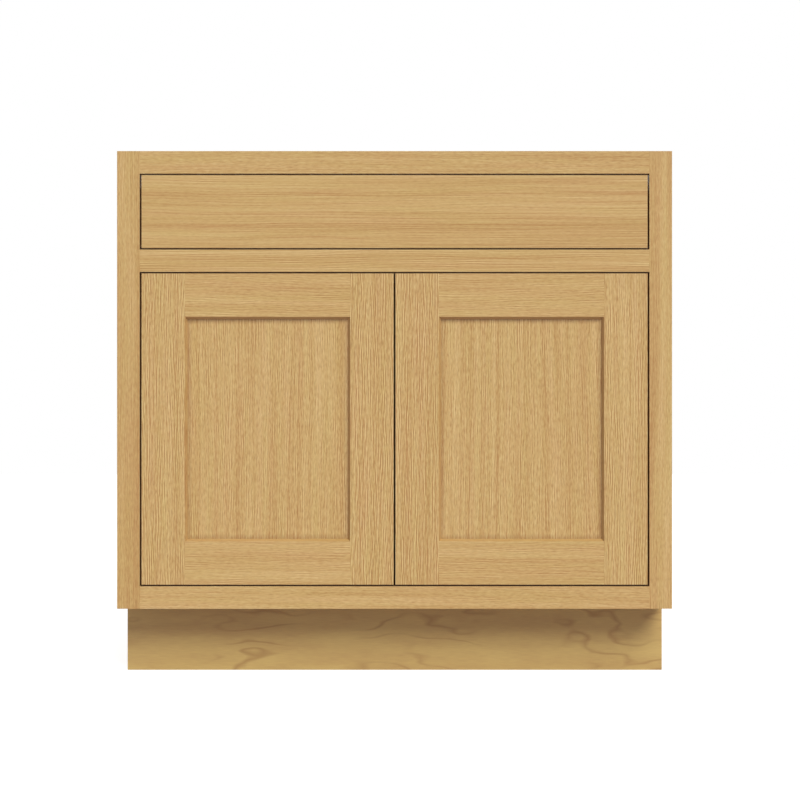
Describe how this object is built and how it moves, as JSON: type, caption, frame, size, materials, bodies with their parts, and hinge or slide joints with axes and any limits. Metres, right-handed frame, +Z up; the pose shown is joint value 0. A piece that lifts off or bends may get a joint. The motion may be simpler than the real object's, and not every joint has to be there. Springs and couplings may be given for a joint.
{
  "type": "kitchen base cabinet",
  "caption": "Floor-standing base cabinet with a face frame, a full-width drawer above two inset recessed-panel doors, an adjustable shelf and a recessed toe space.",
  "frame": {"origin": "centre of the footprint, on the floor", "axes": "+X to the viewer's right along the width, +Y towards the wall, +Z up; the doors and drawer face -Y"},
  "size_m": [0.924, 0.6096, 0.8763],
  "materials": {
    "face_oak": "satin clear lacquer on straight-grained oak",
    "panel_oak": "satin clear lacquer on oak veneer",
    "toe_veneer": "satin pale veneer with a sparse soft figure",
    "cabinet_board": "clear-finished plywood",
    "drawer_box_wood": "clear-finished maple",
    "inner_timber": "plain sawn timber",
    "plated_steel": "nickel-plated pressed steel",
    "screw_steel": "zinc-plated",
    "soft_bumper": "clear soft plastic",
    "clip_plastic": "moulded plastic"
  },
  "bodies": {
    "root": {"side_panel_left": "cabinet_board", "side_panel_right": "cabinet_board", "bottom_panel": "cabinet_board", "back_panel": "cabinet_board", "back_nailers": "inner_timber", "corner_braces": "inner_timber", "toe_kick_base": "inner_timber", "toe_kick_skin": "toe_veneer", "frame_rail_top": "face_oak", "frame_rail_middle": "face_oak", "frame_rail_bottom": "face_oak", "frame_stile_left": "face_oak", "frame_stile_right": "face_oak", "mounting_screws": "screw_steel", "hinge_strip_left": "inner_timber", "hinge_strip_right": "inner_timber", "runner_strip_left": "inner_timber", "runner_strip_right": "inner_timber", "door_stop": "inner_timber", "shelf": "cabinet_board", "shelf_pins": "plated_steel", "hinge_arms_left": "plated_steel", "hinge_arms_right": "plated_steel", "hinge_plates": "plated_steel", "runner_cabinet_left": "plated_steel", "runner_cabinet_right": "plated_steel"},
    "left_door": {"door_left_hinge_stile": "face_oak", "door_left_free_stile": "face_oak", "door_left_top_rail": "face_oak", "door_left_bottom_rail": "face_oak", "door_left_panel": "panel_oak", "door_left_bumper": "soft_bumper", "hinge_cups_left": "plated_steel", "hinge_cup_screws_left": "screw_steel"},
    "left_inner_links": {"hinge_inner_links_left": "plated_steel"},
    "left_outer_links": {"hinge_outer_links_left": "plated_steel"},
    "right_door": {"door_right_hinge_stile": "face_oak", "door_right_free_stile": "face_oak", "door_right_top_rail": "face_oak", "door_right_bottom_rail": "face_oak", "door_right_panel": "panel_oak", "door_right_bumper": "soft_bumper", "hinge_cups_right": "plated_steel", "hinge_cup_screws_right": "screw_steel"},
    "right_inner_links": {"hinge_inner_links_right": "plated_steel"},
    "right_outer_links": {"hinge_outer_links_right": "plated_steel"},
    "drawer": {"drawer_front": "face_oak", "drawer_box_front": "drawer_box_wood", "drawer_box_back": "drawer_box_wood", "drawer_side_left": "drawer_box_wood", "drawer_side_right": "drawer_box_wood", "drawer_bottom": "drawer_box_wood", "drawer_front_screws": "screw_steel", "runner_drawer_left": "plated_steel", "runner_drawer_right": "plated_steel", "runner_clips": "clip_plastic"},
    "runner_middles": {"runner_middle_left": "plated_steel", "runner_middle_right": "plated_steel"},
    "lower_carriages": {"roller_carriages_lower": "plated_steel"},
    "upper_carriages": {"roller_carriages_upper": "plated_steel"}
  },
  "joints": [
    {"name": "left_inner_link_turn", "type": "hinge", "parent": "root", "child": "left_inner_links", "pos_m": [-0.38985, -0.2809, 0.41355], "axis": [0, 0, -1], "range_deg": [-19.75, 0]},
    {"name": "left_door_swing", "type": "hinge", "parent": "left_inner_links", "child": "left_door", "pos_m": [-0.40725, -0.2945, 0.41355], "axis": [0, 0, -1], "range_deg": [0, 124.74]},
    {"name": "left_outer_link_turn", "type": "hinge", "parent": "root", "child": "left_outer_links", "pos_m": [-0.37535, -0.2771, 0.41355], "axis": [0, 0, -1], "range_deg": [-28.53, 0]},
    {"name": "right_inner_link_turn", "type": "hinge", "parent": "root", "child": "right_inner_links", "pos_m": [0.38985, -0.2809, 0.41355], "axis": [0, 0, 1], "range_deg": [-19.75, 0]},
    {"name": "right_door_swing", "type": "hinge", "parent": "right_inner_links", "child": "right_door", "pos_m": [0.40725, -0.2945, 0.41355], "axis": [0, 0, 1], "range_deg": [0, 124.74]},
    {"name": "right_outer_link_turn", "type": "hinge", "parent": "root", "child": "right_outer_links", "pos_m": [0.37535, -0.2771, 0.41355], "axis": [0, 0, 1], "range_deg": [-28.53, 0]},
    {"name": "drawer_slide", "type": "slide", "parent": "root", "child": "drawer", "axis": [0, -1, 0], "range_m": [0, 0.5]},
    {"name": "middle_runner_slide", "type": "slide", "parent": "root", "child": "runner_middles", "axis": [0, -1, 0], "range_m": [0, 0.25]},
    {"name": "lower_carriage_slide", "type": "slide", "parent": "root", "child": "lower_carriages", "axis": [0, -1, 0], "range_m": [0, 0.125]},
    {"name": "upper_carriage_slide", "type": "slide", "parent": "root", "child": "upper_carriages", "axis": [0, -1, 0], "range_m": [0, 0.375]}
  ],
  "couplings": [
    {"joint": "left_inner_link_turn", "follows": "left_door_swing", "ratio": -0.15825},
    {"joint": "left_outer_link_turn", "follows": "left_door_swing", "ratio": -0.22862},
    {"joint": "right_inner_link_turn", "follows": "right_door_swing", "ratio": -0.15825},
    {"joint": "right_outer_link_turn", "follows": "right_door_swing", "ratio": -0.22862},
    {"joint": "middle_runner_slide", "follows": "drawer_slide", "ratio": 0.5},
    {"joint": "lower_carriage_slide", "follows": "drawer_slide", "ratio": 0.25},
    {"joint": "upper_carriage_slide", "follows": "drawer_slide", "ratio": 0.75}
  ]
}
